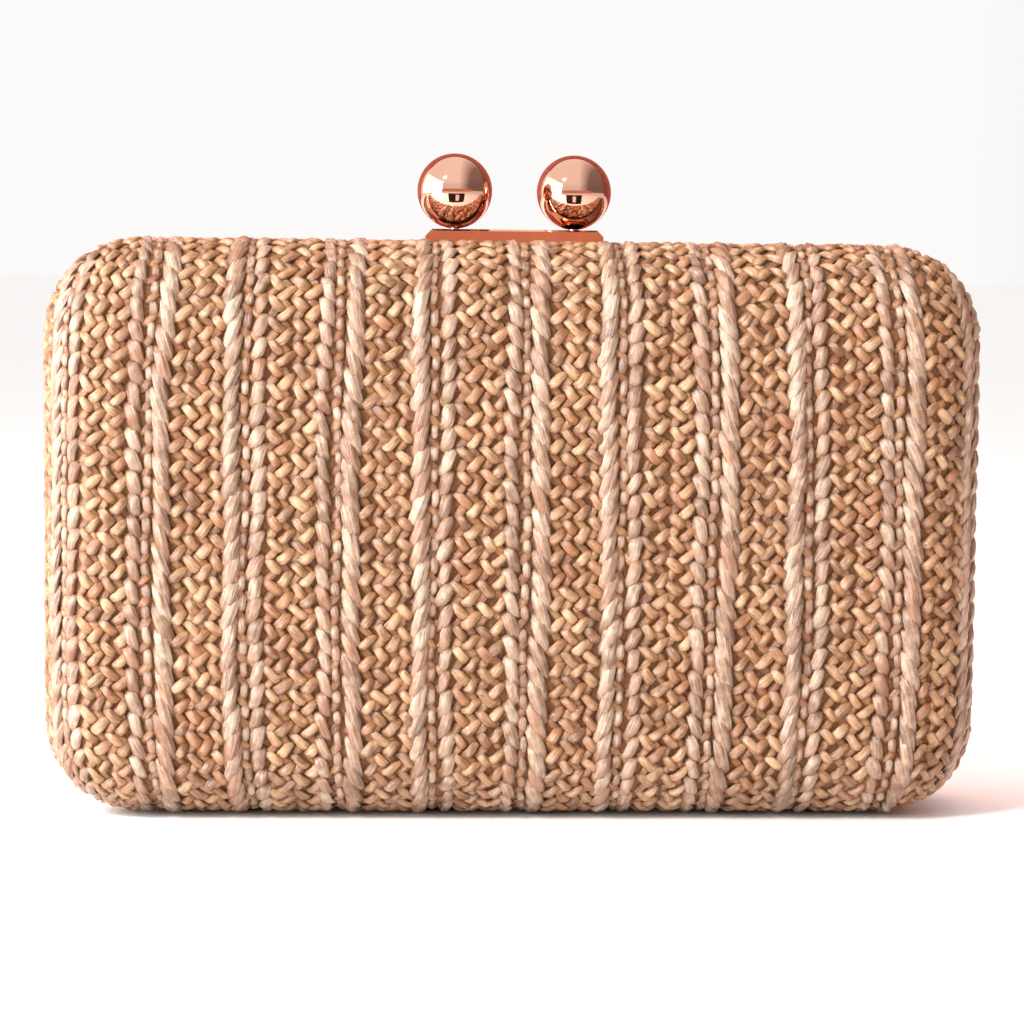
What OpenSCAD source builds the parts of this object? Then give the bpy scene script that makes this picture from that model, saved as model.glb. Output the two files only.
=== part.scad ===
// Hard box clutch purse: two cloth-covered trays, hinged along the bottom, with a double ball clasp.
// +X is to the right, +Y to the back and +Z up. The origin is under the middle of the closed purse,
// at the height of the surface that it stands on. The trays close at y = 0.

/* [Body] */
// Width of the closed purse
body_w = 200; // [150:1:240]
// Height of the trays, without the clasp
body_h = 123; // [100:1:160]
// Depth of the closed purse
body_d = 48; // [46:1:60]
// Radius of the four corners in the front view
corner_r = 21; // [16:0.5:30]
// Radius that rolls the walls into each face
roll_r = 15; // [12:0.5:15.5]

/* [Tray layers] */
// Thickness of the woven cover
cover_t = 2; // [1.5:0.1:2.2]
// Thickness of the foam under the cover
padding_t = 1; // [0.5:0.1:1.2]
// Thickness of the moulded shell
shell_t = 1.3; // [1:0.1:1.6]
// Thickness of the satin lining
lining_t = 0.6; // [0.4:0.1:0.8]
// Thickness of the satin-covered card inside each face
panel_t = 1; // [0.8:0.1:1.4]
// Glue gap between two layers
layer_gap = 0.05; // [0.02:0.01:0.08]

/* [Rim frame] */
// How far the rim is set in from the cover's outline
rim_inset = 1.8; // [1.6:0.1:2]
// Width of the rim, seen from the front
rim_w = 3.6; // [3.6:0.1:4]
// Depth of one rim
rim_d = 3.5; // [3.3:0.1:3.8]
// Gap between one rim and the closing plane
rim_gap = 0.15; // [0.1:0.05:0.2]
// Depth of the groove that takes the edge of the shell
groove_d = 1.5; // [1:0.1:1.6]

/* [Hinges] */
// Distance of each hinge's middle from the middle of the purse
hinge_x = 60; // [35:1:65]
// Length of one knuckle
knuckle_l = 5; // [4:0.5:7]
// Radius of the knuckles
knuckle_r = 1.7; // [1.5:0.05:1.75]
// Radius of the hinge pins
hinge_pin_r = 0.85; // [0.7:0.05:0.9]

/* [Clasp] */
// Diameter of the ball knobs
ball_d = 16; // [12:0.5:18]
// Distance between the middles of the ball knobs
ball_pitch = 25.8; // [25:0.1:26]
// Length of the clasp bar
clasp_l = 38; // [38:0.5:42]
// How far the clasp bar stands above the cover
clasp_rise = 2; // [2:0.1:4]
// How far each ball slides when the two are pinched together
latch_travel = 2; // [1.6:0.1:2]

/* [Hidden] */
$fn = 64;

rose_gold = [0.80, 0.52, 0.40];
straw = [0.74, 0.57, 0.45];
satin = [0.86, 0.74, 0.62];
foam = [0.92, 0.90, 0.86];
plastic = [0.25, 0.22, 0.20];
steel = [0.62, 0.62, 0.64];

// Layers of a tray, each given by how far its outside lies in from the cover's outside
half_d = body_d / 2;
padding_in = cover_t + layer_gap;
shell_in = padding_in + padding_t + layer_gap;
lining_in = shell_in + shell_t + layer_gap;
cover_mouth = rim_d + 0.1;
shell_mouth = rim_d - groove_d + layer_gap;

// Slip pocket on the rear panel
pocket_w = 120;
pocket_h = 68;
pocket_z = 20;
pocket_gap = 0.8;
pocket_seam = 3;

// Hinge: its axis lies in the closing plane, at the height of the rims' lower edge
hinge_z = rim_inset;
knuckle_count = 5;
knuckle_gap = 0.15;
leaf_l = knuckle_count * knuckle_l;
leaf_t = 0.75;
leaf_clear = 0.35;
pin_clear = 0.05;
scoop_clear = 0.2;

// Clasp bar: a channel on the top rim, closed below by the rim, with a solid block in the middle
rim_top = body_h - rim_inset;
clasp_top = body_h + clasp_rise;
clasp_bevel = 1.4;
clasp_edge = 0.4;
cavity_l = clasp_l - 5;
cavity_top = clasp_top - 1;
cavity_near = 0.75;
cavity_far = rim_d - 0.65;
block_l = 5;
latch_y = (cavity_near + cavity_far) / 2;

// Latch: slide, stud, hook and spring, in the closed position of the front half's left latch
latch_fit = 0.15;
stop_gap = 0.05;
stud_r = 1;
stud_clear = 0.1;
stud_x = -ball_pitch / 2;
slide_left = -cavity_l / 2 + stop_gap;
slide_right = stud_x + 4.2;
slide_low = rim_top + 0.2;
slide_high = cavity_top - 0.2;
hook_w = 1.6;
hook_low = rim_top + 0.6;
hook_h = 1.5;
hook_left = slide_right - 0.1 - hook_w;
barb_l = 1.4;
barb_t = 0.8;
barb_gap = 0.2;
window_gap = 0.2;
window_l = hook_w + latch_travel + 2 * window_gap;
spring_r = 0.75;
spring_wire_r = 0.16;
spring_turns = 6;
spring_end_gap = 0.1;

// Ball: stands just clear of the bar and hides the stud in a blind bore
ball_r = ball_d / 2;
ball_clear = 0.1;
ball_z = clasp_top + ball_clear + ball_r;
ball_bore_l = 5;
ball_bore_clear = 0.02;

// Rivets through the top rim into the clasp bar's middle block
rivet_r = 0.6;
rivet_x = 1.4;
rivet_y = 1.3;
rivet_head_r = 1;
rivet_head_h = 0.6;
rivet_grip = 3;
rivet_clear = 0.03;

// ---- Placing ----

// The rear half is the front half turned about the vertical axis.
module rear_half() {
    rotate([0, 0, 180]) children();
}

// Stands a shape that is drawn flat, with its height along Y and its depth along Z, on the purse.
module stand() {
    rotate([90, 0, 0]) children();
}

// A bar along X, given by its x range, y range and z range.
module bar(x, y, z) {
    translate([x[0], y[0], z[0]]) cube([x[1] - x[0], y[1] - y[0], z[1] - z[0]]);
}

// A round bar along X.
module rod_x(x, y, z, r) {
    translate([x[0], y, z]) rotate([0, 90, 0]) cylinder(r = r, h = x[1] - x[0]);
}

// ---- Trays ----

// Outline of the purse in the front view, set in by inset.
module outline(inset) {
    r = corner_r - inset;
    translate([-body_w / 2 + corner_r, inset]) square([body_w - 2 * corner_r, body_h - 2 * inset]);
    translate([-body_w / 2 + inset, corner_r]) square([body_w - 2 * inset, body_h - 2 * corner_r]);
    for (x = [-1, 1], z = [corner_r, body_h - corner_r])
        translate([x * (body_w / 2 - corner_r), z]) circle(r = r);
}

// Half section of a solid tray set in by inset: x runs from the corner's centre outwards, y is depth.
module solid_section(inset, mouth) {
    translate([0, mouth]) square([corner_r - roll_r, half_d - inset - mouth]);
    translate([0, mouth]) square([corner_r - inset, half_d - roll_r - mouth]);
    intersection() {
        translate([corner_r - roll_r, half_d - roll_r]) circle(r = roll_r - inset);
        translate([corner_r - roll_r, half_d - roll_r]) square(roll_r);
    }
}

// Section of one layer of the tray's wall and roll.
module layer_section(inset, t, mouth) {
    difference() {
        solid_section(inset, mouth);
        solid_section(inset + t, mouth - 1);
    }
}

// Carries a section round the four corners and along the four sides.
module around() {
    w = body_w - 2 * corner_r;
    h = body_h - 2 * corner_r;
    translate([0, body_h / 2, 0])
        for (turn = [0, 180]) rotate([0, 0, turn]) {
            translate([w / 2, h / 2, 0]) rotate_extrude(angle = 90) children();
            translate([-w / 2, h / 2, 0]) rotate([0, 0, 90]) rotate_extrude(angle = 90) children();
            translate([w / 2, h / 2, 0]) rotate([90, 0, 0]) linear_extrude(h) children();
            translate([-w / 2, h / 2, 0]) rotate([90, 0, 90]) linear_extrude(w) children();
        }
}

// One layer of the tray: wall, roll and flat face.
module tray_layer(inset, t, mouth) {
    stand() {
        around() layer_section(inset, t, mouth);
        translate([-body_w / 2 + corner_r, corner_r, half_d - inset - t])
            cube([body_w - 2 * corner_r, body_h - 2 * corner_r, t]);
    }
}

module cover() {
    color(straw) tray_layer(0, cover_t, cover_mouth);
}

module padding() {
    color(foam) tray_layer(padding_in, padding_t, cover_mouth);
}

module shell() {
    color(plastic) tray_layer(shell_in, shell_t, shell_mouth);
}

// The satin strip covers the wall and the roll, and stops at the panel.
module lining_wall() {
    color(satin) stand() around() intersection() {
        layer_section(lining_in, lining_t, cover_mouth);
        translate([corner_r - roll_r, 0]) square([roll_r, half_d]);
    }
}

module lining_panel() {
    color(satin) stand()
        translate([0, 0, half_d - lining_in - panel_t])
            linear_extrude(panel_t) outline(roll_r + layer_gap);
}

// A flat pocket: a face held off the panel by seams along its two sides and its bottom.
module slip_pocket() {
    depth = half_d - lining_in - panel_t;
    x = pocket_w / 2;
    color(satin) {
        bar([-x, x], [-depth + pocket_gap, -depth + pocket_gap + lining_t],
            [pocket_z, pocket_z + pocket_h]);
        for (side = [[-x, pocket_seam - x], [x - pocket_seam, x]])
            bar(side, [-depth, -depth + pocket_gap], [pocket_z, pocket_z + pocket_h]);
        bar([pocket_seam - x, x - pocket_seam], [-depth, -depth + pocket_gap],
            [pocket_z, pocket_z + pocket_seam]);
    }
}

// ---- Rim frame and hinges ----

// A channel ring, cleared for the hinge barrels and drilled for the clasp rivets.
module frame() {
    color(rose_gold) difference() {
        stand() {
            difference() {
                translate([0, 0, rim_gap]) linear_extrude(rim_d - rim_gap) difference() {
                    outline(rim_inset);
                    outline(rim_inset + rim_w);
                }
                translate([0, 0, rim_d - groove_d]) linear_extrude(groove_d + 1) difference() {
                    outline(shell_in - layer_gap);
                    outline(lining_in);
                }
            }
        }
        for (side = [-1, 1]) {
            rod_x([side * hinge_x - leaf_l / 2 - scoop_clear, side * hinge_x + leaf_l / 2 + scoop_clear],
                0, hinge_z, knuckle_r + scoop_clear);
            translate([side * rivet_x, -rivet_y, rim_top - rim_w - 1])
                cylinder(r = rivet_r + rivet_clear, h = rim_w + 2);
        }
    }
}

// One leaf under the front rim at the hinge whose middle is x. Knuckle first is its first one of
// five, and every second one after that is its own.
module hinge_leaf(x, first) {
    start = x - leaf_l / 2;
    plate_y = [-rim_d + 0.1, -knuckle_r - leaf_clear];
    plate_z = [hinge_z - leaf_t, hinge_z];
    color(rose_gold) difference() {
        union() {
            bar([start, start + leaf_l], plate_y, plate_z);
            for (i = [first:2:knuckle_count - 1]) {
                near = start + i * knuckle_l + knuckle_gap / 2;
                span = [near, near + knuckle_l - knuckle_gap];
                bar(span, [plate_y[1], 0], plate_z);
                rod_x(span, 0, hinge_z, knuckle_r);
            }
        }
        rod_x([start - 1, start + leaf_l + 1], 0, hinge_z, hinge_pin_r + pin_clear);
    }
}

module hinge_pin(x) {
    color(steel) rod_x([x - leaf_l / 2 - 0.1, x + leaf_l / 2 + 0.1], 0, hinge_z, hinge_pin_r);
}

// ---- Clasp ----

// End view of the clasp bar, with its outer top edge bevelled: x is depth, y is height.
module clasp_end_view() {
    polygon([
        [rim_gap, rim_top], [rim_d, rim_top], [rim_d, clasp_top - clasp_edge],
        [rim_d - clasp_edge, clasp_top], [rim_gap, clasp_top]
    ]);
}

// Front view of the clasp bar, with its two upper corners bevelled.
module clasp_front_view() {
    x = clasp_l / 2;
    polygon([
        [-x, rim_top], [x, rim_top], [x, clasp_top - clasp_bevel], [x - clasp_bevel, clasp_top],
        [clasp_bevel - x, clasp_top], [-x, clasp_top - clasp_bevel]
    ]);
}

module clasp_housing() {
    color(rose_gold) difference() {
        intersection() {
            stand() linear_extrude(rim_d) clasp_front_view();
            rotate([90, 0, -90]) linear_extrude(clasp_l, center = true) clasp_end_view();
        }
        for (side = [-1, 1]) {
            x = [side * block_l / 2, side * cavity_l / 2];
            bar([min(x), max(x)], [-cavity_far, -cavity_near], [rim_top - 1, cavity_top]);
            window_x = side * (abs(hook_left) - hook_w / 2 - latch_travel / 2);
            bar([window_x - window_l / 2, window_x + window_l / 2], [-cavity_near - 0.1, 0.1],
                [hook_low - window_gap, hook_low + hook_h + window_gap]);
            translate([side * rivet_x, -rivet_y, rim_top - 1])
                cylinder(r = rivet_r + rivet_clear, h = 1 + rivet_grip + 0.1);
        }
        stud_slot();
    }
}

// The slot in the top of the bar that the stud slides along.
module stud_slot() {
    r = stud_r + stud_clear;
    ends = [stud_x, stud_x + latch_travel];
    for (x = ends) translate([x, -latch_y, cavity_top - 0.5]) cylinder(r = r, h = 2);
    bar(ends, [-latch_y - r, -latch_y + r], [cavity_top - 0.5, cavity_top + 1.5]);
}

module clasp_rivets() {
    color(rose_gold) for (x = [-rivet_x, rivet_x]) translate([x, -rivet_y, 0]) {
        translate([0, 0, rim_top - rim_w - rivet_head_h]) cylinder(r = rivet_head_r, h = rivet_head_h);
        translate([0, 0, rim_top - rim_w]) cylinder(r = rivet_r, h = rim_w + rivet_grip);
    }
}

// The slide fills the cavity under its ball, and its hook reaches through both bars' windows and
// catches behind the edge of the other bar's window. Moving it inwards frees the hook.
module latch_slide() {
    hook_tip = cavity_near + barb_gap + barb_t;
    hook_z = [hook_low, hook_low + hook_h];
    stud_top = ball_z - ball_r + ball_bore_l - 0.2;
    color(steel) {
        bar([slide_left, slide_right], [latch_fit - cavity_far, -cavity_near - latch_fit],
            [slide_low, slide_high]);
        bar([hook_left, hook_left + hook_w], [-cavity_near - latch_fit, hook_tip], hook_z);
        bar([hook_left - barb_l, hook_left], [hook_tip - barb_t, hook_tip], hook_z);
        translate([stud_x, -latch_y, slide_high]) cylinder(r = stud_r, h = stud_top - slide_high);
    }
}

module ball_knob() {
    color(rose_gold) translate([stud_x, -latch_y, 0]) difference() {
        translate([0, 0, ball_z]) sphere(r = ball_r);
        translate([0, 0, ball_z - ball_r - 1]) cylinder(r = stud_r + ball_bore_clear, h = ball_bore_l + 1);
    }
}

// Points of one ring of the spring's wire, at turn t.
function wire_ring(t, pitch, sides) = [
    for (i = [0:sides - 1])
        let (a = 360 * i / sides, r = spring_r - spring_wire_r + spring_wire_r * cos(a))
            [pitch * t + spring_wire_r * sin(a), r * cos(360 * t), r * sin(360 * t)]
];

// A coil spring along X, from the slide to the bar's middle block.
module latch_spring() {
    start = slide_right + spring_end_gap + spring_wire_r;
    length = -block_l / 2 - spring_end_gap - spring_wire_r - start;
    sides = 6;
    steps = 14;
    rings = spring_turns * steps;
    points = [for (k = [0:rings]) each wire_ring(k / steps, length / spring_turns, sides)];
    wall = [
        for (k = [0:rings - 1], i = [0:sides - 1])
            let (j = (i + 1) % sides)
                [k * sides + i, k * sides + j, (k + 1) * sides + j, (k + 1) * sides + i]
    ];
    caps = [[for (i = [sides - 1:-1:0]) i], [for (i = [0:sides - 1]) rings * sides + i]];
    color(steel) translate([start, -latch_y, (slide_low + slide_high) / 2])
        polyhedron(points, concat(wall, caps));
}

// ---- Nodes ----

frame();  // front_frame
shell();  // front_shell
padding();  // front_padding
cover();  // front_cover
lining_wall();  // front_lining_wall
lining_panel();  // front_lining_panel
hinge_leaf(-hinge_x, 1);  // front_left_hinge_leaf
hinge_leaf(hinge_x, 1);  // front_right_hinge_leaf
clasp_housing();  // front_clasp_housing
clasp_rivets();  // front_clasp_rivets
latch_slide();  // front_latch_slide
latch_spring();  // front_latch_spring
ball_knob();  // front_ball_knob
rear_half() frame();  // rear_frame
rear_half() shell();  // rear_shell
rear_half() padding();  // rear_padding
rear_half() cover();  // rear_cover
rear_half() lining_wall();  // rear_lining_wall
rear_half() lining_panel();  // rear_lining_panel
rear_half() slip_pocket();  // rear_slip_pocket
rear_half() hinge_leaf(hinge_x, 0);  // rear_left_hinge_leaf
rear_half() hinge_leaf(-hinge_x, 0);  // rear_right_hinge_leaf
rear_half() clasp_housing();  // rear_clasp_housing
rear_half() clasp_rivets();  // rear_clasp_rivets
rear_half() latch_slide();  // rear_latch_slide
rear_half() latch_spring();  // rear_latch_spring
rear_half() ball_knob();  // rear_ball_knob
hinge_pin(-hinge_x);  // left_hinge_pin
hinge_pin(hinge_x);  // right_hinge_pin
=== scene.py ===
"""Looks of the clutch purse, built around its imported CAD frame.

The front half's soft pieces are made in millimetres on one cloth-to-tray mapping, and the rear half's
are the same functions turned 180 degrees about the vertical axis, with their own random draws.
"""

import math

import bpy
import numpy as np
from mathutils import Matrix, Vector


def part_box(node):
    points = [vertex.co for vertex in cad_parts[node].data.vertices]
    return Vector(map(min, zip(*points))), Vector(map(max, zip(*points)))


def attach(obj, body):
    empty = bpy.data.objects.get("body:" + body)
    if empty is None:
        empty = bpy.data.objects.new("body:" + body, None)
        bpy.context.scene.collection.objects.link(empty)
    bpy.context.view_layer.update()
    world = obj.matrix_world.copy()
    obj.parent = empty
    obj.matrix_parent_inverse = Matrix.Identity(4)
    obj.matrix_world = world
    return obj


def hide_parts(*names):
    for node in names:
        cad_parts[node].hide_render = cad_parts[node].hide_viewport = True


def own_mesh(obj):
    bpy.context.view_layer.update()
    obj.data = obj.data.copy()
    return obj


MM = 0.001

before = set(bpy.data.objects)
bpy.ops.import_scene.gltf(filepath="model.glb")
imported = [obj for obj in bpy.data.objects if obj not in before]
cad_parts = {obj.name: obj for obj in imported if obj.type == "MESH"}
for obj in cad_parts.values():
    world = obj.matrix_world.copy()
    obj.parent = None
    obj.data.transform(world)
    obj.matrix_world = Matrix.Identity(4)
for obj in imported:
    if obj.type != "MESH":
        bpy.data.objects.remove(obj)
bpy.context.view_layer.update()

# ---------------------------------------------------------------- sizes, in millimetres

cover_low, cover_high = (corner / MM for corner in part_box("front_cover"))
HALF_W = cover_high.x
HALF_H = (cover_high.z - cover_low.z) / 2
MID_Z = (cover_high.z + cover_low.z) / 2
HALF_D = -cover_low.y
MOUTH = HALF_D + cover_high.y

# The radii of the tray's corners, of the roll from its face to its walls, and of the cloth's hem at
# the rim, and how far the face swells outwards in its middle
CORNER_R = 21.0
ROLL_R = 15.0
HEM_R = 1.9
CROWN = 1.2

# Half the width and height of the face's inner rectangle, which lies between the rounded corners
INNER_W = HALF_W - CORNER_R
INNER_H = HALF_H - CORNER_R

# Where the tray's profile changes, as cloth distance from the face's inner rectangle
FLAT_END = CORNER_R - ROLL_R
ROLL_END = FLAT_END + ROLL_R * math.pi / 2
WALL_END = ROLL_END + MOUTH - HEM_R - ROLL_R
CLOTH_END = WALL_END + HEM_R * math.pi / 2

# Heights of the layers from the cover's outside
GROUND = -1.75
GROUND_THICK = 0.25
FOAM_TOP = -2.1
FOAM_BASE = -3.0
WALL_SATIN_OUTSIDE = -4.47
WALL_SATIN_INSIDE = -4.95

# The knit: the width of its pattern, where the middle rib lies, the height of a row, and how far
# its last stitches stay from the cloth's edge
PERIOD = 39.45
FIRST_RIB = -1.0
ROW = 4.6
STITCH_MARGIN = 0.7


# ---------------------------------------------------------------- cloth to tray

def profile(rho, hem=True):
    """In-plane reach, depth behind the face and lean of the normal, at cloth distance rho."""
    roll = np.clip((rho - FLAT_END) / ROLL_R, 0, math.pi / 2)
    reach = np.minimum(rho, FLAT_END) + ROLL_R * np.sin(roll)
    depth = ROLL_R * (1 - np.cos(roll))
    if not hem:
        return reach, depth + np.maximum(rho - ROLL_END, 0), roll
    fold = np.clip((rho - WALL_END) / HEM_R, 0, math.pi / 2)
    wall = np.clip(rho - ROLL_END, 0, WALL_END - ROLL_END)
    return reach - HEM_R * (1 - np.cos(fold)), depth + wall + HEM_R * np.sin(fold), roll + fold


def wrap(u, v, h, hem=True, crown=CROWN):
    """Points of the front half for cloth points (u, v) at height h above the cover's outside."""
    near_u = np.clip(u, -INNER_W, INNER_W)
    near_v = np.clip(v, -INNER_H, INNER_H)
    rho = np.hypot(u - near_u, v - near_v)
    reach, depth, lean = profile(rho, hem)
    out = (reach + h * np.sin(lean)) / np.maximum(rho, 1e-6)
    x = near_u + (u - near_u) * out
    z = near_v + (v - near_v) * out
    edge_x = np.clip(1 - (x / (HALF_W - ROLL_R)) ** 2, 0, 1)
    edge_z = np.clip(1 - (z / (HALF_H - ROLL_R)) ** 2, 0, 1)
    y = -HALF_D + depth - h * np.cos(lean) - crown * edge_x * edge_z
    return np.stack([x, y, MID_Z + z], axis=-1)


def knit_wrap(u, v, h):
    """The same for yarn at height h in the knit, which is pressed flatter round the roll and the hem.

    The knit's columns draw together towards the top and bottom.
    """
    over = cloth_distance(u, v)
    roll_press = 0.3 * np.clip((over - FLAT_END) / ROLL_R, 0, 1)
    hem_press = 0.25 * np.clip(over - WALL_END, 0, 1)
    draw_in = 0.028 * np.clip((np.abs(v) - 15) / 45, 0, 1) ** 2
    return wrap(u * (1 - draw_in), v, GROUND + h * (1 - roll_press - hem_press))


def past_face(u, v):
    """How far (u, v) lies outside the face's inner rectangle, sideways and upwards or downwards."""
    return np.maximum(np.abs(u) - INNER_W, 0), np.maximum(np.abs(v) - INNER_H, 0)


def cloth_distance(u, v):
    """Cloth distance of (u, v) from the face's inner rectangle."""
    return np.hypot(*past_face(u, v))


def turned(points, half):
    """Points of the front half, or the same points turned to the rear half."""
    return points if half == "front" else points * np.array([-1, -1, 1])


# ---------------------------------------------------------------- mesh helpers

def make_mesh(name, points, faces, attributes=None):
    """A smooth object from points in millimetres and a list of arrays of faces, as point numbers.

    The faces in one array have the same number of corners. Attributes hold one value or vector a point.
    """
    mesh = bpy.data.meshes.new(name)
    loops = np.concatenate([f.ravel() for f in faces])
    sizes = np.concatenate([np.full(len(f), f.shape[1]) for f in faces])
    mesh.vertices.add(len(points))
    mesh.vertices.foreach_set("co", (points * MM).astype(np.float32).ravel())
    mesh.loops.add(len(loops))
    mesh.loops.foreach_set("vertex_index", loops.astype(np.int32))
    mesh.polygons.add(len(sizes))
    mesh.polygons.foreach_set("loop_start", (np.cumsum(sizes) - sizes).astype(np.int32))
    mesh.polygons.foreach_set("use_smooth", np.ones(len(sizes), bool))
    for key, values in (attributes or {}).items():
        kind, slot = ("FLOAT", "value") if values.ndim == 1 else ("FLOAT_VECTOR", "vector")
        layer = mesh.attributes.new(key, kind, "POINT")
        layer.data.foreach_set(slot, values.astype(np.float32).ravel())
    mesh.update(calc_edges=True)
    mesh.validate()
    obj = bpy.data.objects.new(name, mesh)
    bpy.context.scene.collection.objects.link(obj)
    return obj


def dress(obj, material, slot, body, *nodes):
    """Gives a new piece its material, sets it on its body, and hides the nodes it stands for. Slot is not
    used.
    """
    obj.data.materials.append(material)
    if nodes:
        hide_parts(*nodes)
    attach(obj, body)


# ---------------------------------------------------------------- stitches

class Stitch:
    """One kind of stitch, in millimetres: a strand with pointed ends, its middle raised.

    It runs lean across and length up, with half a width and half a thickness. Its ends lie at
    height low, and it rises by arch at peak, a share of its length. Bend is how far it sways.
    Lobes is the number of ridges that its fibres make round it.
    """

    def __init__(self, lean, length, width, thick, low, arch, bend=0.0, rings=8, sides=10,
                 peak=0.5, lobes=0):
        self.lean, self.length = lean, length
        self.width, self.thick = width, thick
        self.low, self.arch, self.bend = low, arch, bend
        self.rings, self.sides = rings, sides
        self.peak, self.lobes = peak, lobes


def strand_faces(rings, sides, count):
    """Faces of count closed strands, each with a pole, rings of sides points, and a pole."""
    ring = np.arange(sides)
    after = (ring + 1) % sides
    first = 1 + ring
    quads = [
        np.stack([first + k * sides, first + (k + 1) * sides,
                  1 + after + (k + 1) * sides, 1 + after + k * sides], axis=1)
        for k in range(rings - 1)
    ]
    last = 1 + (rings - 1) * sides
    fans = [
        np.stack([np.zeros(sides, int), first, 1 + after], axis=1),
        np.stack([np.full(sides, 1 + rings * sides), last + after, last + ring], axis=1),
    ]
    step = (2 + rings * sides) * np.arange(count)[:, None, None]
    return [(np.concatenate(part)[None] + step).reshape(-1, part[0].shape[1]) for part in (quads, fans)]


def strands(kind, u0, v0, side, rng):
    """Points and attributes of one stitch at each (u0, v0), leaning right if side is 1, left if -1.

    Yarn holds each point's place in its own strand: along it, across it and through it.
    """
    count = len(u0)

    def vary(spread, base=1.0):
        return base * (1 + rng.uniform(-spread, spread, count))

    def shift(spread):
        return rng.uniform(-spread, spread, count)[:, None]

    t = 0.5 - 0.5 * np.cos(math.pi * np.arange(kind.rings + 2) / (kind.rings + 1))
    skewed = t ** (math.log(0.5) / math.log(kind.peak))
    lean, length = vary(0.2, side * kind.lean), vary(0.16, kind.length)
    across = np.stack([length, -lean], axis=1) / np.hypot(length, lean)[:, None]
    sway = vary(0.5, side * kind.bend)[:, None] * np.sin(2 * math.pi * t)
    mid_u = u0[:, None] + shift(0.16) + lean[:, None] * (t - 0.5) + across[:, :1] * sway
    mid_v = v0[:, None] + shift(0.2) + length[:, None] * (t - 0.5) + across[:, 1:] * sway
    mid_h = kind.low + shift(0.13) + kind.arch * np.sin(math.pi * skewed)
    taper = np.clip(1 - np.abs(2 * skewed - 1) ** 2.6, 0, 1) ** 0.5
    angle = 2 * math.pi * np.arange(kind.sides) / kind.sides
    fibre = 1.0
    if kind.lobes:
        turn = rng.uniform(0, 2 * math.pi, count)[:, None, None] + 1.5 * t[1:-1, None]
        fibre = (1 + 0.15 * np.sin(kind.lobes * angle + turn)
                 + 0.07 * np.sin((kind.lobes + 3) * angle - turn))
    wide = (vary(0.12, kind.width)[:, None] * taper)[:, 1:-1, None] * np.cos(angle) * fibre
    high = (vary(0.1, kind.thick)[:, None] * taper)[:, 1:-1, None] * np.sin(angle) * fibre

    def closed(rings, ends):
        return np.concatenate([ends[:, :1], rings.reshape(count, -1), ends[:, -1:]], axis=1).ravel()

    def ringed(middle, offset):
        return closed(middle[:, 1:-1, None] + offset, middle)

    u = ringed(mid_u, across[:, 0, None, None] * wide)
    v = ringed(mid_v, across[:, 1, None, None] * wide)
    h = ringed(mid_h, high)
    zero = np.zeros((count, len(t)))
    along = np.hypot(length, lean)[:, None] * t
    yarn = np.stack([ringed(along, np.zeros_like(wide)), closed(wide, zero), closed(high, zero)], axis=1)
    each = np.repeat(rng.uniform(0, 1, count), 2 + kind.rings * kind.sides)
    return u, v, h, yarn, each


def stitched(name, batches, place):
    """One mesh from batches of (kind, u, v, side, rng), set in space by place(u, v, h)."""
    parts, faces, start = [], [], 0
    for kind, u0, v0, side, rng in batches:
        u, v, h, yarn, each = strands(kind, u0, v0, side, rng)
        parts.append((place(u, v, h), yarn, each, h))
        faces.append([f + start for f in strand_faces(kind.rings, kind.sides, len(u0))])
        start += len(u)
    points, yarn, each, rise = (np.concatenate(group) for group in zip(*parts))
    merged = [np.concatenate(group) for group in zip(*faces)]
    return make_mesh(name, points, merged, {"yarn": yarn, "stitch": each, "rise": rise})


# The ropes and ribs are long strands that overlap. The beads lean to and fro, and under them the
# yarn crosses back the other way.
ROPE = Stitch(lean=3.7, length=9.6, width=1.35, thick=0.95, low=0.1, arch=1.2, bend=0.15, rings=10,
              sides=18, peak=0.52, lobes=6)
RIB = Stitch(lean=3.3, length=5.9, width=1.3, thick=1.0, low=0.0, arch=1.1, bend=0.3, rings=8,
             sides=14, peak=0.55, lobes=5)
BEAD = Stitch(lean=4.2, length=2.8, width=1.12, thick=1.0, low=0.0, arch=1.0, bend=0.25, rings=8,
              sides=10, peak=0.4)
THIN = Stitch(lean=1.1, length=4.0, width=1.0, thick=0.85, low=0.0, arch=0.6, bend=0.15, rings=6, sides=8)
UNDER = Stitch(lean=3.2, length=3.0, width=1.05, thick=0.7, low=-0.1, arch=0.4, bend=0.1, rings=4,
               sides=7)

# Every column of one period: its kind, its place along the period in millimetres, the side that it
# leans to, and its shift in rows.
COLUMNS = [
    (RIB, 0.0, -1, 0.0), (THIN, 2.9, -1, 0.3), (ROPE, 6.0, -1, 0.6),
    (BEAD, 9.5, 1, 0.0), (BEAD, 12.0, -1, 0.45), (BEAD, 14.6, 1, 0.0), (BEAD, 17.1, -1, 0.5),
    (ROPE, 20.1, 1, 0.2), (THIN, 23.0, 1, 0.6), (RIB, 25.6, 1, 0.3),
    (BEAD, 28.9, -1, 0.5), (BEAD, 31.5, 1, 0.0), (BEAD, 34.2, -1, 0.45), (BEAD, 36.9, 1, 0.0),
]


def column_points(place, shift, rng):
    """Cloth points of every stitch in the columns at one place of the period."""
    turns = np.arange(-4, 5) * PERIOD + FIRST_RIB + place
    turns = turns[np.abs(turns) < INNER_W + CLOTH_END]
    rows = (np.arange(-18, 19) + shift) * ROW
    rows = rows[np.abs(rows) < INNER_H + CLOTH_END]
    u, v = np.meshgrid(turns, rows, indexing="ij")
    phase = rng.uniform(0, 2 * math.pi, (len(turns), 1))
    sway = 0.3 * np.sin(v / 14 + phase) + 0.2 * np.sin(v / 6.1 + 2 * phase)
    rise = 0.16 * ROW * np.sin(3 * phase) + 0.5 * np.sin(u / 19 + v / 23)
    return (u + sway).ravel(), (v + rise).ravel()


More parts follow.
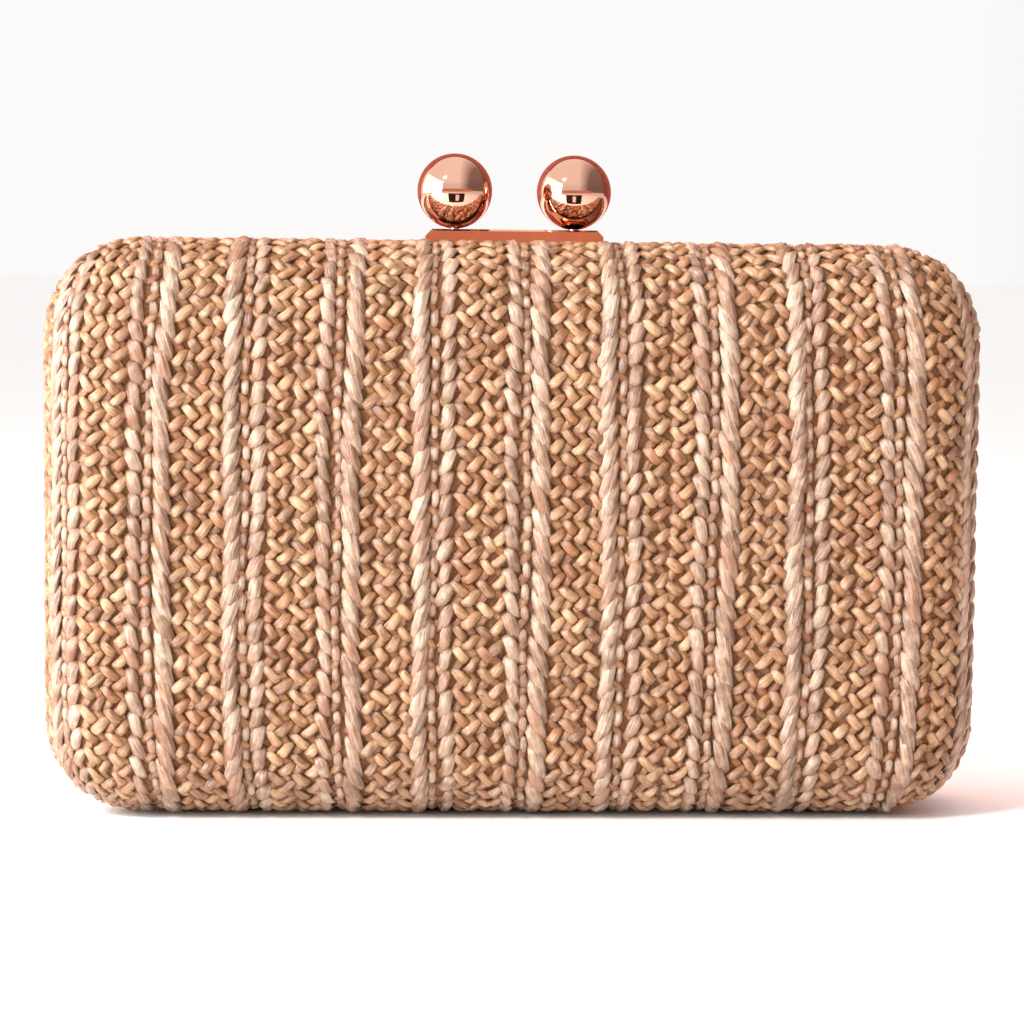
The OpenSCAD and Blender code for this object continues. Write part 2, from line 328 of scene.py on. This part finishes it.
def on_cloth(kind, u, v, side, rng):
    """A batch of stitches, without those past the cloth's hem."""
    keep = cloth_distance(u, v) < CLOTH_END - STITCH_MARGIN
    return kind, u[keep], v[keep], side, rng


def knit(half, seed):
    """The knit of one half, as pieces: ropes, ribs, two sets of beads, and the yarn under them."""
    rng = np.random.default_rng(seed)
    groups = {"ropes": [], "ribs": [], "beads": [], "seeds": [], "under": []}
    for i, (kind, place, side, shift) in enumerate(COLUMNS):
        u, v = column_points(place, shift, rng)
        name = {ROPE: "ropes", BEAD: ("beads", "seeds")[i % 2]}.get(kind, "ribs")
        groups[name].append(on_cloth(kind, u, v, side, rng))
        groups["under"].append(on_cloth(UNDER, u - 0.4, v + 0.5 * ROW, -side, rng))

    def place(u, v, h):
        return turned(knit_wrap(u, v, h), half)

    return {name: stitched(f"{half}_cover_{name}", batches, place) for name, batches in groups.items()}


# ---------------------------------------------------------------- cloth layers

def tray_grid(end, step):
    """Cloth points of a grid over the tray out to cloth distance end, with rounded corners."""
    reach_u, reach_v = INNER_W + end, INNER_H + end
    u = np.linspace(-reach_u, reach_u, int(2 * reach_u / step) + 1)
    v = np.linspace(-reach_v, reach_v, int(2 * reach_v / step) + 1)
    u, v = np.meshgrid(u, v, indexing="ij")
    near_u = np.clip(u, -INNER_W, INNER_W)
    near_v = np.clip(v, -INNER_H, INNER_H)
    du, dv = u - near_u, v - near_v
    shrink = np.maximum(np.abs(du), np.abs(dv)) / np.maximum(np.hypot(du, dv), 1e-6)
    return near_u + du * shrink, near_v + dv * shrink


def ring_grid(start, end, rows, step):
    """Cloth points of a ring round the tray, clockwise, from cloth distance start to end."""
    corners = [(INNER_W, INNER_H, 90), (INNER_W, -INNER_H, 0), (-INNER_W, -INNER_H, -90),
               (-INNER_W, INNER_H, -180)]
    along = []
    for i, (u, v, angle) in enumerate(corners):
        fan = np.radians(angle - np.linspace(0, 90, 25))
        along += [(u, v, math.cos(a), math.sin(a)) for a in fan]
        next_u, next_v, _ = corners[(i + 1) % 4]
        count = int(math.hypot(next_u - u, next_v - v) / step)
        side_u, side_v = math.cos(fan[-1]), math.sin(fan[-1])
        for t in np.arange(1, count) / count:
            along.append((u + (next_u - u) * t, v + (next_v - v) * t, side_u, side_v))
    near_u, near_v, out_u, out_v = np.array(along).T[:, :, None]
    rho = np.linspace(start, end, rows)[None, :]
    return near_u + out_u * rho, near_v + out_v * rho


def slab(name, top, bottom, ring=False):
    """A closed mesh between two grids of points. With ring, the first axis closes on itself."""
    n, m = top.shape[:2]
    i = np.arange(n if ring else n - 1)[:, None]
    j = np.arange(m - 1)[None, :]
    after = (i + 1) % n
    a, b, c, d = i * m + j, after * m + j, after * m + j + 1, i * m + j + 1
    under = n * m
    faces = [np.stack([a, b, c, d], -1).reshape(-1, 4),
             np.stack([d, c, b, a], -1).reshape(-1, 4) + under]
    rims = [(a[:, 0], b[:, 0]), (c[:, -1], d[:, -1])]
    if not ring:
        rims += [(d[0], a[0]), (b[-1], c[-1])]
    faces += [np.stack([end, start, start + under, end + under], -1) for start, end in rims]
    points = np.concatenate([top.reshape(-1, 3), bottom.reshape(-1, 3)])
    return make_mesh(name, points, [np.concatenate(faces)])


# ---------------------------------------------------------------- materials

def new_material(name, colour, roughness, metallic=0.0):
    """A node material, its tree and its Principled shader."""
    material = bpy.data.materials.new(name)
    material.use_nodes = True
    material.diffuse_color = (*colour, 1)
    tree = material.node_tree
    shader = tree.nodes["Principled BSDF"]
    shader.inputs["Base Color"].default_value = (*colour, 1)
    shader.inputs["Roughness"].default_value = roughness
    shader.inputs["Metallic"].default_value = metallic
    return material, tree, shader


def node(tree, kind, inputs=(), **values):
    """A node with its properties set, and each input either linked or given its value."""
    made = tree.nodes.new(kind)
    for key, value in values.items():
        setattr(made, key, value)
    for key, value in dict(inputs).items():
        if isinstance(value, bpy.types.NodeSocket):
            tree.links.new(value, made.inputs[key])
        else:
            made.inputs[key].default_value = value
    return made


def ramp(tree, factor, stops):
    """The colour from a ramp of (place, (r, g, b)) stops, fed by factor."""
    made = node(tree, "ShaderNodeValToRGB", {"Fac": factor})
    while len(made.color_ramp.elements) < len(stops):
        made.color_ramp.elements.new(0.5)
    for element, (place, colour) in zip(made.color_ramp.elements, stops):
        element.position = place
        element.color = (*colour, 1)
    return made.outputs["Color"]


def spread(tree, value, low, high, start=0.0, end=1.0):
    """The value carried from start..end to low..high."""
    given = {"Value": value, "From Min": start, "From Max": end, "To Min": low, "To Max": high}
    return node(tree, "ShaderNodeMapRange", given).outputs["Result"]


def scaled(tree, vector, scale):
    """The vector with each part multiplied."""
    return node(tree, "ShaderNodeMapping", {"Vector": vector, "Scale": scale}).outputs["Vector"]


def noise(tree, vector, scale, detail=3.0, rough=0.6, seed=None):
    """Noise at a scale, drawn again for each value of seed if that is given."""
    given = {"Vector": vector, "Scale": scale, "Detail": detail, "Roughness": rough}
    dimensions = "3D"
    if seed is not None:
        given["W"] = seed
        dimensions = "4D"
    return node(tree, "ShaderNodeTexNoise", given, noise_dimensions=dimensions).outputs["Fac"]


def bump(tree, shader, height, distance):
    """Gives the shader a bump, whose distance is in metres."""
    made = node(tree, "ShaderNodeBump", {"Height": height, "Distance": distance, "Strength": 1.0})
    tree.links.new(made.outputs["Normal"], shader.inputs["Normal"])


# The Mix node's inputs and its output for colours, which share their names with those for numbers
MIX_FACTOR, MIX_FIRST, MIX_SECOND, MIX_RESULT = 0, 6, 7, 2


def blend_colour(tree, factor, first, second):
    """The colour between first and second."""
    given = {MIX_FACTOR: factor, MIX_FIRST: first, MIX_SECOND: second}
    return node(tree, "ShaderNodeMix", given, data_type="RGBA").outputs[MIX_RESULT]


def added(tree, first, second):
    """The sum of two values."""
    return node(tree, "ShaderNodeMath", {0: first, 1: second}, operation="ADD").outputs[0]


# Bump distances of straw fibres and of moulded surfaces, in metres
FIBRE_DEPTH = 0.0006
PEBBLE_DEPTH = 0.00008


def straw(name, dark, mid, light, low, high):
    """Straw yarn: fibres along each strand, a tone of its own for each stitch, and painted shade low in
    the knit.

    Where the yarn is high in the knit it shows its own colour. Where it dips it is blended towards a
    darker brown, painted shade for the knit's crevices. Its own colour's share goes from none at height
    low to all at height high, in millimetres. Some stitches are warmer than the others.
    """
    material, tree, shader = new_material(name, mid, 0.5)
    attributes = {
        key: node(tree, "ShaderNodeAttribute", attribute_name=key).outputs[output]
        for key, output in (("yarn", "Vector"), ("stitch", "Fac"), ("rise", "Fac"))
    }
    seed = spread(tree, attributes["stitch"], 0, 97)
    fine, coarse = (0.25, 2.6, 2.6), (0.4, 0.5, 0.5)
    fibres = noise(tree, scaled(tree, attributes["yarn"], fine), 1.0, 3, 0.7, seed)
    blotch = noise(tree, scaled(tree, attributes["yarn"], coarse), 1.0, 2, 0.5, seed)
    own = spread(tree, attributes["stitch"], -0.16, 0.16)
    tone = added(tree, added(tree, fibres, blotch), own)
    tone = spread(tree, tone, 0, 1, start=0.78, end=1.24)
    colour = ramp(tree, tone, [(0.0, dark), (0.45, mid), (1.0, light)])
    draw = node(tree, "ShaderNodeTexWhiteNoise", {"W": seed}, noise_dimensions="1D").outputs["Value"]
    warm = (mid[0] * 1.05, mid[1] * 0.74, mid[2] * 0.55, 1)
    colour = blend_colour(tree, spread(tree, draw, 0, 0.5, start=0.55, end=1), colour, warm)
    # The share of the yarn's own colour over the painted shade, by its height in the knit
    shade = spread(tree, attributes["rise"], 0, 1, low, high)
    # A darker, more saturated brown: painted shade for the crevices where the yarn dips low in the knit
    painted_shade = (dark[0] * 0.74, dark[1] * 0.57, dark[2] * 0.4, 1)
    tree.links.new(blend_colour(tree, shade, painted_shade, colour), shader.inputs["Base Color"])
    tree.links.new(spread(tree, fibres, 0.2, 0.4), shader.inputs["Roughness"])
    shader.inputs["Specular IOR Level"].default_value = 0.8
    shader.inputs["Coat Weight"].default_value = 0.15
    shader.inputs["Coat Roughness"].default_value = 0.22
    bump(tree, shader, fibres, FIBRE_DEPTH)
    return material


# The Wave texture's scale that puts its waves a millimetre apart
WAVES_PER_MM = 314.0


def woven(name, colour, roughness, pitch, depth):
    """Plain woven cloth, with its thread pitch and depth in millimetres, along the world's axes."""
    material, tree, shader = new_material(name, colour, roughness)
    place = node(tree, "ShaderNodeTexCoord").outputs["Object"]
    waves = []
    for direction in ("X", "Z"):
        given = {"Vector": place, "Scale": WAVES_PER_MM / pitch, "Distortion": 0.6, "Detail": 1.0}
        waves.append(node(tree, "ShaderNodeTexWave", given, bands_direction=direction).outputs["Fac"])
    height = node(tree, "ShaderNodeMath", {0: waves[0], 1: waves[1]}, operation="MAXIMUM").outputs[0]
    cloudy = noise(tree, place, 60.0, 3)
    darker = tuple(0.78 * part for part in colour)
    tree.links.new(ramp(tree, cloudy, [(0.3, darker), (0.7, colour)]), shader.inputs["Base Color"])
    tree.links.new(spread(tree, cloudy, roughness * 0.8, roughness * 1.25), shader.inputs["Roughness"])
    shader.inputs["Sheen Weight"].default_value = 0.3
    bump(tree, shader, height, depth * MM)
    return material


def polished(name, colour, roughness, grain=0.0):
    """Polished metal with faint smudges in its gloss, and fine scratches where grain is given."""
    material, tree, shader = new_material(name, colour, roughness, 1.0)
    place = node(tree, "ShaderNodeTexCoord").outputs["Object"]
    smudge = noise(tree, place, 70.0, 4)
    warm = tuple(0.9 * part for part in colour)
    tree.links.new(ramp(tree, smudge, [(0.3, warm), (0.7, colour)]), shader.inputs["Base Color"])
    tree.links.new(spread(tree, smudge, roughness * 0.5, roughness * 1.5), shader.inputs["Roughness"])
    if grain:
        bump(tree, shader, noise(tree, scaled(tree, place, (60, 900, 900)), 6.0, 2), grain * MM)
    return material


def moulded(name, colour, roughness):
    """Moulded plastic or foam with a fine pebbled surface."""
    material, tree, shader = new_material(name, colour, roughness)
    place = node(tree, "ShaderNodeTexCoord").outputs["Object"]
    grain = noise(tree, place, 1400.0, 2)
    darker = tuple(0.8 * part for part in colour)
    tree.links.new(ramp(tree, noise(tree, place, 80.0), [(0.3, darker), (0.7, colour)]),
                   shader.inputs["Base Color"])
    tree.links.new(spread(tree, grain, roughness * 0.8, roughness * 1.2), shader.inputs["Roughness"])
    bump(tree, shader, grain, PEBBLE_DEPTH)
    return material


# The last two numbers of each straw are the heights in the knit, in millimetres, over which its painted
# shade gives way to its own colour
BEAD_STRAW = straw("bead_straw", (0.21, 0.09, 0.034), (0.39, 0.195, 0.09), (0.60, 0.365, 0.195),
                   -0.2, 1.0)
ROPE_STRAW = straw("rope_straw", (0.24, 0.12, 0.065), (0.41, 0.245, 0.155), (0.60, 0.43, 0.31),
                   -0.1, 1.2)
# The under yarn and the ground cloth are darker and more saturated than the straw on top: painted shade
# for the gaps between the stitches
UNDER_STRAW = straw("under_straw", (0.19, 0.074, 0.023), (0.33, 0.142, 0.052), (0.48, 0.25, 0.11),
                    -0.5, 0.5)
GROUND_CLOTH = woven("ground_cloth", (0.26, 0.106, 0.037), 0.8, 0.9, 0.12)
SATIN = woven("satin", (0.42, 0.27, 0.185), 0.32, 0.22, 0.02)
THREAD = straw("sewing_thread", (0.40, 0.25, 0.16), (0.56, 0.38, 0.26), (0.70, 0.5, 0.36), -0.5, 0.1)
ROSE_GOLD = polished("rose_gold_plate", (0.80, 0.45, 0.33), 0.06)
STEEL = polished("steel", (0.62, 0.61, 0.59), 0.22, 0.004)
# The shell is dark brown plastic, brown so that the sliver of shell seen in the groove between the cover
# and the frame reads as a shadow line: partly painted shade
PLASTIC = moulded("shell_plastic", (0.06, 0.036, 0.024), 0.7)
FOAM = moulded("foam", (0.78, 0.75, 0.68), 0.9)

# The material of each CAD node by the last word of its name. The others are satin.
CAD_LOOKS = {"frame": ROSE_GOLD, "leaf": ROSE_GOLD, "housing": ROSE_GOLD, "rivets": ROSE_GOLD,
             "knob": ROSE_GOLD, "pin": STEEL, "slide": STEEL, "spring": STEEL, "shell": PLASTIC}

for name, cad_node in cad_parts.items():
    cad_node.data.materials.clear()
    cad_node.data.materials.append(CAD_LOOKS.get(name.rsplit("_", 1)[-1], SATIN))

# ---------------------------------------------------------------- latch springs


def make_latch_spring(half):
    """The coil in a clasp bar, which shortens towards its fixed end as the slide moves in."""
    cad_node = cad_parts[f"{half}_latch_spring"]
    points = np.array([corner.co for corner in cad_node.data.vertices]) / MM
    faces = np.array([list(face.vertices) for face in cad_node.data.polygons])
    coil = make_mesh(f"{half}_latch_coil", points, [faces])
    dress(coil, STEEL, "steel", half, f"{half}_latch_spring")
    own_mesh(coil)


make_latch_spring("front")
make_latch_spring("rear")

# ---------------------------------------------------------------- covers

# The halves, and the seed of each half's random draws
HALVES = (("front", 11), ("rear", 23))


def make_cover(half, seed):
    """The woven cover of one half: its knit, and the ground cloth under it."""
    looks = {"ropes": ROPE_STRAW, "ribs": ROPE_STRAW, "under": UNDER_STRAW}
    for name, piece in knit(half, seed).items():
        dress(piece, looks.get(name, BEAD_STRAW), "woven_straw", half)
    u, v = tray_grid(CLOTH_END, step=1.5)
    pitch_u, pitch_v = 1.3, 1.15
    ripple = 0.06 * np.sin(2 * math.pi * u / pitch_u) * np.sin(2 * math.pi * v / pitch_v)
    top = turned(wrap(u, v, GROUND + ripple), half)
    base = turned(wrap(u, v, GROUND - GROUND_THICK + ripple), half)
    cloth = slab(f"{half}_cover_cloth", top, base)
    dress(cloth, GROUND_CLOTH, "woven_straw", half, f"{half}_cover")


def make_padding(half):
    """The thin foam between a cover and its shell."""
    u, v = tray_grid(WALL_END - 0.5, step=2.0)
    soft = 0.05 * np.sin(u / 3.1) * np.cos(v / 2.7)
    top = turned(wrap(u, v, FOAM_TOP + soft, hem=False, crown=0), half)
    foam = slab(f"{half}_padding_foam", top, turned(wrap(u, v, FOAM_BASE, hem=False, crown=0), half))
    dress(foam, FOAM, "foam", half, f"{half}_padding")


for half, seed in HALVES:
    make_cover(half, seed)
    make_padding(half)

# ---------------------------------------------------------------- linings

SATIN_CLOTH = {"quality": 6, "mass": 0.12, "tension_stiffness": 12, "compression_stiffness": 12,
               "shear_stiffness": 4, "bending_stiffness": 0.08}
CLOTH_FRAMES = 20

# The simulation holds what is nearer than this to a sewn edge, in millimetres
HELD_EDGE = 0.5


def relaxed(points, pinned, push, slack):
    """A grid of points in millimetres after the cloth simulation, with pinned points held.

    Push is the pressure along the cloth's normal, and slack is how much longer its threads grow.
    """
    n, m = points.shape[:2]
    cloth = open_sheet("cloth_in_work", points)
    group = cloth.vertex_groups.new(name="pinned")
    group.add([int(i) for i in np.flatnonzero(pinned.ravel())], 1.0, "REPLACE")
    modifier = cloth.modifiers.new("Cloth", "CLOTH")
    settings = modifier.settings
    settings.vertex_group_mass = "pinned"
    for key, value in SATIN_CLOTH.items():
        setattr(settings, key, value)
    settings.shrink_min = -slack
    settings.shrink_max = -slack
    settings.use_pressure = True
    settings.uniform_pressure_force = push
    settings.effector_weights.gravity = 0
    modifier.point_cache.frame_start = 1
    modifier.point_cache.frame_end = CLOTH_FRAMES
    scene = bpy.context.scene
    for step in range(1, CLOTH_FRAMES + 1):
        scene.frame_set(step)
    shape = cloth.evaluated_get(bpy.context.evaluated_depsgraph_get()).to_mesh()
    moved = np.empty(n * m * 3)
    shape.vertices.foreach_get("co", moved)
    mesh = cloth.data
    bpy.data.objects.remove(cloth)
    bpy.data.meshes.remove(mesh)
    scene.frame_set(1)
    return moved.reshape(n, m, 3) / MM


def open_sheet(name, points):
    """An open sheet from a grid of points."""
    n, m = points.shape[:2]
    i, j = np.arange(n - 1)[:, None] * m, np.arange(m - 1)[None, :]
    quads = np.stack([i + j, i + j + m, i + j + m + 1, i + j + 1], -1).reshape(-1, 4)
    return make_mesh(name, points.reshape(-1, 3), [quads])


pocket_low, pocket_high = (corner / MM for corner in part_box("rear_slip_pocket"))

# How far round the pocket the panel's satin lies flat, in millimetres
POCKET_REST = 4.0


def make_lining_panel(half):
    """The satin over card inside a face: held at its edges, and loose between them.

    It is simulated with its grid turned round, so that the push is towards the inside of the purse.
    """
    low, high = (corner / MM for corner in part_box("front_lining_panel"))
    u, v = np.meshgrid(np.linspace(low.x, high.x, 116), np.linspace(low.z, high.z, 62), indexing="ij")
    inset = np.minimum.reduce([u - low.x, high.x - u, v - low.z, high.z - v])
    edge = np.clip(inset / 1.6, 0, 1)
    face = np.stack([u, high.y - 0.45 * (1 - edge) ** 2, v], -1)
    puffed = relaxed(face[:, ::-1], inset[:, ::-1] < HELD_EDGE, push=0.25, slack=0.012)[:, ::-1]
    rise = np.clip(puffed[..., 1] - face[..., 1], -0.25, 0.7)
    if half == "rear":
        beside = np.maximum.reduce([np.abs(u) - pocket_high.x, pocket_low.z - v, v - pocket_high.z])
        rise = rise * np.clip(beside / POCKET_REST, 0, 1)
    top = np.stack([u, face[..., 1] + rise, v], -1)
    back = np.stack([u, np.full_like(u, low.y), v], -1)
    panel = slab(f"{half}_panel_satin", turned(top[:, ::-1], half), turned(back[:, ::-1], half))
    dress(panel, SATIN, "satin_lining", half, f"{half}_lining_panel")


def make_lining_wall(half):
    """The satin strip round the inside of the walls, gathered at the corners and slack between them."""
    start, end = FLAT_END + 0.05, ROLL_END + MOUTH - ROLL_R
    u, v = ring_grid(start, end, rows=26, step=2.0)
    over = np.clip(cloth_distance(u, v) / end, 0, 1)
    past_u, past_v = past_face(u, v)
    turn = np.arctan2(past_v, past_u)
    corner = np.sin(2 * turn) ** 2
    gather = corner * np.sin(26 * turn) * 0.22 * over
    slack = 0.12 * np.sin(u / 5.3 + v / 7.1) * np.sin(u / 11.0 - v / 6.2) * np.sin(math.pi * over)
    outer = wrap(u, v, np.full_like(u, WALL_SATIN_OUTSIDE), hem=False, crown=0)
    inner = wrap(u, v, WALL_SATIN_INSIDE - gather - slack, hem=False, crown=0)
    wall = slab(f"{half}_wall_satin", turned(outer, half), turned(inner, half), ring=True)
    dress(wall, SATIN, "satin_lining", half, f"{half}_lining_wall")


for half, _ in HALVES:
    make_lining_panel(half)
    make_lining_wall(half)


POCKET_THICK = 0.2


def make_pocket():
    """The flat satin pocket on the rear panel: sewn on three sides, with a slack hemmed mouth."""
    low, high = pocket_low, pocket_high
    u, v = np.meshgrid(np.linspace(low.x, high.x, 81), np.linspace(low.z, high.z, 47), indexing="ij")
    inset = np.minimum.reduce([u - low.x, high.x - u, v - low.z])
    away = 0.25 + 0.55 * np.clip(inset / 2.5, 0, 1) ** 0.5
    face = np.stack([u, high.y - away, v], -1)
    slack = relaxed(face, inset < HELD_EDGE, push=0.2, slack=0.015)
    out = np.clip(face[..., 1] - slack[..., 1], -0.3, 0.6)
    hem = 0.22 * np.exp(-((high.z - v - 1.6) / 1.3) ** 4)
    front = np.stack([u, face[..., 1] - out - hem, v], -1)
    back = np.stack([u, face[..., 1] - out + POCKET_THICK, v], -1)
    pocket = slab("rear_pocket_satin", front, back)
    dress(pocket, SATIN, "satin_lining", "rear", "rear_slip_pocket")


# The pocket's seam: how far in from the pocket's edge and from its CAD face it lies, the pitch of
# its stitches, and its stitches that run up and that run along
SEAM_IN = 1.3
SEAM_DEPTH = 0.72
SEAM_PITCH = 2.5
SEAM_UP = Stitch(lean=0.05, length=1.9, width=0.22, thick=0.2, low=0.0, arch=0.12, rings=5, sides=6)
SEAM_ALONG = Stitch(lean=1.9, length=0.05, width=0.22, thick=0.2, low=0.0, arch=0.12, rings=5, sides=6)


def make_pocket_seam():
    """The thread that sews the pocket to the panel, along its two sides and its bottom."""
    rng = np.random.default_rng(31)
    left, right, bottom = pocket_low.x + SEAM_IN, pocket_high.x - SEAM_IN, pocket_low.z + SEAM_IN
    up = np.arange(bottom + SEAM_PITCH / 2, pocket_high.z - 1, SEAM_PITCH)
    along = np.arange(left + SEAM_PITCH / 2, right, SEAM_PITCH)
    batches = [(SEAM_UP, np.full_like(up, side), up, 1, rng) for side in (left, right)]
    batches.append((SEAM_ALONG, along, np.full_like(along, bottom), 1, rng))

    def place(u, v, h):
        return np.stack([u, pocket_high.y - SEAM_DEPTH - h, v], -1)

    dress(stitched("rear_pocket_seam", batches, place), THREAD, "satin_lining", "rear")


make_pocket()
make_pocket_seam()

# ---------------------------------------------------------------- stage

def area_light(name, place, aim, size, power, colour):
    """A soft rectangular light at a place, pointing at aim, in metres, that no camera sees."""
    light = bpy.data.lights.new(name, "AREA")
    light.shape = "RECTANGLE"
    light.size, light.size_y = size
    light.energy = power
    light.color = colour
    obj = bpy.data.objects.new(name, light)
    bpy.context.scene.collection.objects.link(obj)
    obj.location = place
    obj.rotation_euler = (Vector(aim) - Vector(place)).to_track_quat("-Z", "Y").to_euler()
    obj.visible_camera = False
    return obj


def rectangle(name, width, height, material):
    """A flat rectangle round the origin, with its sides in metres."""
    x, y = width / MM / 2, height / MM / 2
    corners = np.array([[-x, -y, 0], [x, -y, 0], [x, y, 0], [-x, y, 0]])
    obj = make_mesh(name, corners, [np.array([[0, 1, 2, 3]])])
    obj.data.materials.append(material)
    return obj


FLOOR_SIDE = 60.0


def make_floor():
    """A large plain pale floor."""
    material, _, _ = new_material("floor", (0.98, 0.98, 0.98), 0.9)
    floor = rectangle("floor", FLOOR_SIDE, FLOOR_SIDE, material)


def make_world():
    """A white surround that is brighter overhead, and dimmer far round to the right."""
    world = bpy.data.worlds.new("studio")
    world.use_nodes = True
    tree = world.node_tree
    direction = node(tree, "ShaderNodeTexCoord").outputs["Generated"]
    way = node(tree, "ShaderNodeSeparateXYZ", {"Vector": direction})
    white, dim = (1.0, 0.99, 0.98), (0.26, 0.21, 0.19)
    right = spread(tree, way.outputs["X"], 0, 1, start=0.2, end=0.66)
    overhead = spread(tree, way.outputs["Z"], 0.97, 1.2, start=0.25, end=0.5)
    background = tree.nodes["Background"]
    tree.links.new(ramp(tree, right, [(0.0, white), (1.0, dim)]), background.inputs["Color"])
    tree.links.new(overhead, background.inputs["Strength"])
    bpy.context.scene.world = world


def make_camera():
    """The camera, in front, slightly above and to the left, with the frame's width set at its aim."""
    rise, left, roll = math.radians(4.6), math.radians(3.0), math.radians(0.6)
    distance, frame_w, sensor = 650.0, 219.8, 36.0
    aim = Vector((-0.15, -6.0, MID_Z + 3.1))
    camera = bpy.data.cameras.new("camera")
    camera.sensor_width = sensor
    camera.lens = sensor * distance / frame_w
    obj = bpy.data.objects.new("camera", camera)
    bpy.context.scene.collection.objects.link(obj)
    back = Vector((-math.sin(left) * math.cos(rise), -math.cos(left) * math.cos(rise), math.sin(rise)))
    obj.location = (aim + back * distance) * MM
    turn = (-back).to_track_quat("-Z", "Y").to_matrix() @ Matrix.Rotation(roll, 3, "Z")
    obj.rotation_euler = turn.to_euler()
    bpy.context.scene.camera = obj


def glossy_card(name, colour, place, size, facing, glow=0.0):
    """A plain card that only reflections see: its middle, its two sizes, and the way that it faces."""
    material, _, shader = new_material(name, colour, 0.9)
    shader.inputs["Specular IOR Level"].default_value = 0.0
    shader.inputs["Emission Color"].default_value = (*colour, 1)
    shader.inputs["Emission Strength"].default_value = glow
    card = rectangle(name, *size, material)
    card.location = place
    card.rotation_euler = Vector(facing).to_track_quat("Z", "Y").to_euler()
    for kind in ("camera", "diffuse", "shadow"):
        setattr(card, "visible_" + kind, False)


def make_cards():
    """What the metal reflects: coral round the room, a window, and a dark shape with a bright spot."""
    glossy_card("coral_far", (0.78, 0.36, 0.23), (0, -2.5, 0.15), (6.0, 0.5), (0, 1, 0))
    glossy_card("coral_wall", (0.3, 0.1, 0.08), (1.0, 0.6, 0.45), (3.4, 0.96), (0, -1, 0))
    glossy_card("dark_shape", (0.03, 0.025, 0.025), (0.0, -0.17, 0.058), (0.16, 0.1), (0, 1, 0))
    glossy_card("bright_spot", (1.0, 1.0, 1.0), (0.005, -0.165, 0.066), (0.03, 0.06), (0, 1, 0))
    glossy_card("left_window", (0.92, 0.97, 1.0), (-0.95, -0.12, 0.4), (1.3, 0.7), (1, 0, 0), glow=1.6)


def make_lights():
    """Daylight from the left, its glare on the straw's gloss, and faint coral light from the room."""
    body, clasp = (0, 0, 0.06), (0, 0, 0.08)
    coral = (1.0, 0.30, 0.2)
    window = area_light("key_window", (-0.72, -0.22, 0.38), body, (0.7, 0.7), 11.5, (1.0, 0.99, 0.97))
    window.visible_glossy = False
    area_light("key_lamp", (-0.5, -0.6, 0.75), body, (0.1, 0.1), 6, (1.0, 0.98, 0.95))
    glare = area_light("glare", (-0.78, -0.48, 0.24), body, (0.5, 0.62), 17, (0.9, 0.95, 1.0))
    glare.visible_diffuse = False
    coral_places = {"coral_right": ((0.45, 0.25, 0.2), 0.4), "coral_top": ((0.0, 0.25, 0.5), 1.2)}
    for name, (place, power) in coral_places.items():
        area_light(name, place, clasp, (0.4, 0.3), power, coral).visible_glossy = False


make_floor()
make_world()
make_cards()
make_camera()
make_lights()
bpy.context.scene.view_settings.view_transform = "Standard"
